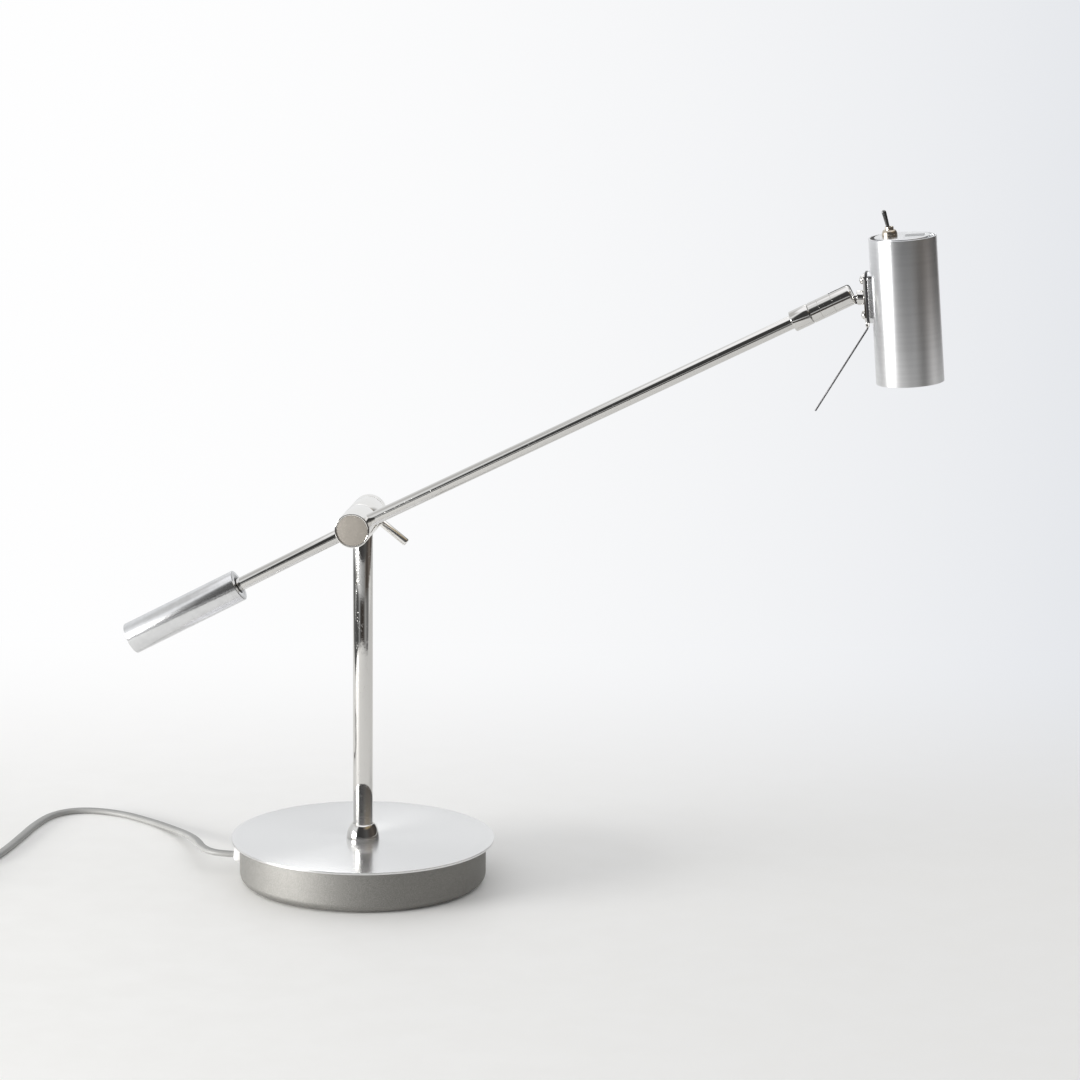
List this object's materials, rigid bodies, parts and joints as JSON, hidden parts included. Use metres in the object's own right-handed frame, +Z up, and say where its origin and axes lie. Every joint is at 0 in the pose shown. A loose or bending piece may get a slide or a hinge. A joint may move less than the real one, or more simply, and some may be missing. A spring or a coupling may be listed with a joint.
{
  "type": "counterweight balance desk lamp",
  "caption": "Desk lamp with a round weighted base, swivelling stem, clamped balance arm with a sliding counterweight, and a tilting cylindrical head with a toggle switch.",
  "frame": {"origin": "centre of the round base, on the surface that the lamp stands on", "axes": "+Z up along the stem, +X from the stem towards the lamp head, -Y the side of the stem that the arm is on"},
  "size_m": [0.7341, 0.2157, 0.4239],
  "materials": {
    "felt": "pressed wool felt",
    "drum_paint": "fine textured metallic grey paint",
    "turned_aluminium": "fine turned, clear anodised",
    "chrome_plate": "polished chrome plate, a little pitted",
    "weight_finish": "fine turned and plated",
    "satin_aluminium": "satin, clear anodised",
    "bright_steel": "polished nickel plate",
    "switch_nickel": "warm nickel plate",
    "toggle_plate": "black nickel plate",
    "handle_wire": "drawn steel wire",
    "cap_finish": "satin warm grey",
    "zinc_steel": "bright zinc plate",
    "cast_ballast": "as cast",
    "taped_winding": "amber polyester tape over copper",
    "nylon": "natural",
    "fibre_washer": "vulcanised fibre",
    "dark_gasket": "smooth",
    "white_plastic": "smooth",
    "black_plastic": "moulded",
    "lead_covering": "smooth silicone",
    "ceramic": "unglazed",
    "lamp_glass": "clear",
    "lamp_mirror": "faceted",
    "cord_grey": "smooth flexible plastic",
    "plug_grey": "moulded"
  },
  "bodies": {
    "base": {"base_felt": "felt", "drum_shell": "drum_paint", "base_disc": "turned_aluminium", "ballast_ring": "cast_ballast", "transformer": "taped_winding", "transformer_clamp": "zinc_steel", "transformer_nut": "zinc_steel", "base_nut": "zinc_steel", "base_nipple": "zinc_steel", "stem_clip": "zinc_steel", "stem_collar": "chrome_plate", "cable_grommet": "white_plastic", "cord_free": "cord_grey", "cord_coil": "cord_grey", "cord_tail": "cord_grey", "mains_plug": "plug_grey", "plug_prongs": "bright_steel"},
    "stem": {"stem_tube": "chrome_plate", "stem_bush": "nylon", "stem_plug": "zinc_steel", "stem_lead": "lead_covering", "stem_head": "chrome_plate", "friction_washers": "fibre_washer"},
    "clamp": {"clamp_ring": "chrome_plate", "clamp_lever": "chrome_plate"},
    "arm": {"arm_hub": "chrome_plate", "hub_cap": "cap_finish", "pivot_bolt": "zinc_steel", "arm_tube": "chrome_plate", "arm_lead": "lead_covering", "rear_rod": "chrome_plate", "arm_sleeve": "chrome_plate", "swivel_stud": "zinc_steel", "swivel_clip": "zinc_steel"},
    "weight": {"counterweight": "weight_finish", "weight_bush": "nylon"},
    "swivel": {"swivel_knuckle": "chrome_plate", "knuckle_pin": "bright_steel"},
    "head": {"tilt_tongue": "chrome_plate", "bracket_plate": "chrome_plate", "bracket_gasket": "dark_gasket", "bracket_saddle": "satin_aluminium", "bracket_screws": "bright_steel", "bracket_nuts": "zinc_steel", "handle_ferrule": "bright_steel", "tilt_handle": "handle_wire", "head_leads": "lead_covering", "head_tube": "satin_aluminium", "head_top": "satin_aluminium", "switch_body": "black_plastic", "switch_bushing": "switch_nickel", "switch_nut": "switch_nickel", "lamp_reflector": "lamp_mirror", "lamp_lens": "lamp_glass", "lamp_capsule": "lamp_glass", "lamp_keeper": "zinc_steel", "lamp_socket": "ceramic", "socket_bracket": "zinc_steel", "socket_screw": "zinc_steel"},
    "toggle": {"switch_lever": "toggle_plate"}
  },
  "joints": [
    {"name": "stem_swivel", "type": "hinge", "parent": "base", "child": "stem", "pos_m": [0, 0, 0.1], "axis": [0, 0, 1], "range_deg": [-170, 170]},
    {"name": "arm_pitch", "type": "hinge", "parent": "stem", "child": "arm", "pos_m": [0, -0.0252, 0.2252], "axis": [0, -1, 0], "range_deg": [-45, 55]},
    {"name": "clamp_turn", "type": "hinge", "parent": "stem", "child": "clamp", "pos_m": [0, 0.0207, 0.2252], "axis": [0, 1, 0], "range_deg": [0, 120]},
    {"name": "weight_slide", "type": "slide", "parent": "arm", "child": "weight", "axis": [-0.8809, 0, -0.4733], "range_m": [-0.03, 0.012]},
    {"name": "head_roll", "type": "hinge", "parent": "arm", "child": "swivel", "pos_m": [0.27609, -0.0252, 0.36618], "axis": [0.8906, 0, 0.4548], "range_deg": [-90, 90]},
    {"name": "head_tilt", "type": "hinge", "parent": "swivel", "child": "head", "pos_m": [0.28696, -0.0252, 0.37173], "axis": [0, 1, 0], "range_deg": [-70, 40]},
    {"name": "switch_toggle", "type": "hinge", "parent": "head", "child": "toggle", "pos_m": [0.31315, -0.0252, 0.41077], "axis": [0, 1, 0], "range_deg": [0, 24]}
  ]
}
